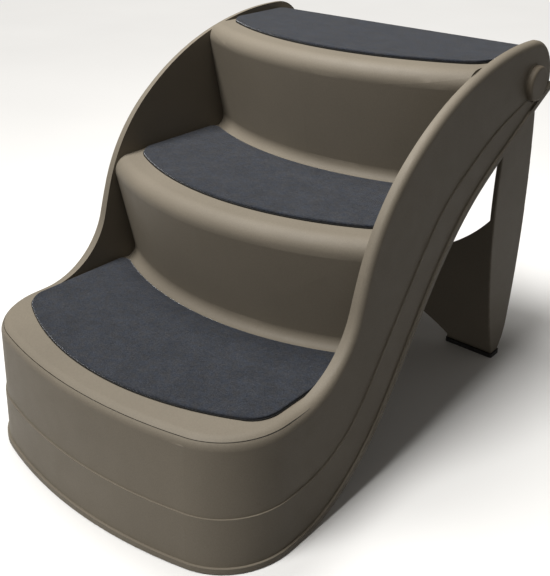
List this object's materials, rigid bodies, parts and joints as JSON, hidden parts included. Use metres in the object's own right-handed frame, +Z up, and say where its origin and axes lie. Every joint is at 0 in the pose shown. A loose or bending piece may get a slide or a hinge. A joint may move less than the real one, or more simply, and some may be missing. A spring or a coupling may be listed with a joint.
{
  "type": "folding pet stair",
  "caption": "Moulded plastic pet stair with curved side walls, carpeted treads and a folding rear leg frame.",
  "frame": {"origin": "centre of the footprint at floor level, with the leg frame swung out", "axes": "+X to the right across the stair, +Y from the front rim to the back, +Z up"},
  "size_m": [0.416, 0.5968, 0.4262],
  "materials": {
    "shell_plastic": "fine moulded texture, satin",
    "leg_plastic": "fine moulded texture, satin",
    "cap_plastic": "smooth satin",
    "carpet": "short needle felt pile",
    "mat_backing": "cut rubber sheet",
    "rubber_pad": "matte rubber",
    "bush_plastic": "smooth",
    "zinc_steel": "zinc plated"
  },
  "bodies": {
    "stair": {"stair_shell": "shell_plastic", "bottom_tread_backing": "mat_backing", "bottom_tread_carpet": "carpet", "middle_tread_backing": "mat_backing", "middle_tread_carpet": "carpet", "top_tread_backing": "mat_backing", "top_tread_carpet": "carpet", "right_pivot_cap": "cap_plastic", "left_pivot_cap": "cap_plastic", "right_pivot_bolt": "zinc_steel", "left_pivot_bolt": "zinc_steel", "right_pivot_washer": "zinc_steel", "left_pivot_washer": "zinc_steel", "right_pivot_nut": "zinc_steel", "left_pivot_nut": "zinc_steel", "right_front_grip": "rubber_pad", "left_front_grip": "rubber_pad"},
    "rear_leg": {"rear_leg_frame": "leg_plastic", "right_pivot_bush": "bush_plastic", "left_pivot_bush": "bush_plastic", "right_foot_pad": "rubber_pad", "left_foot_pad": "rubber_pad"}
  },
  "joints": [
    {"name": "leg_fold", "type": "hinge", "parent": "stair", "child": "rear_leg", "pos_m": [0, 0.2424, 0.38], "axis": [-1, 0, 0], "range_deg": [0, 38]}
  ]
}
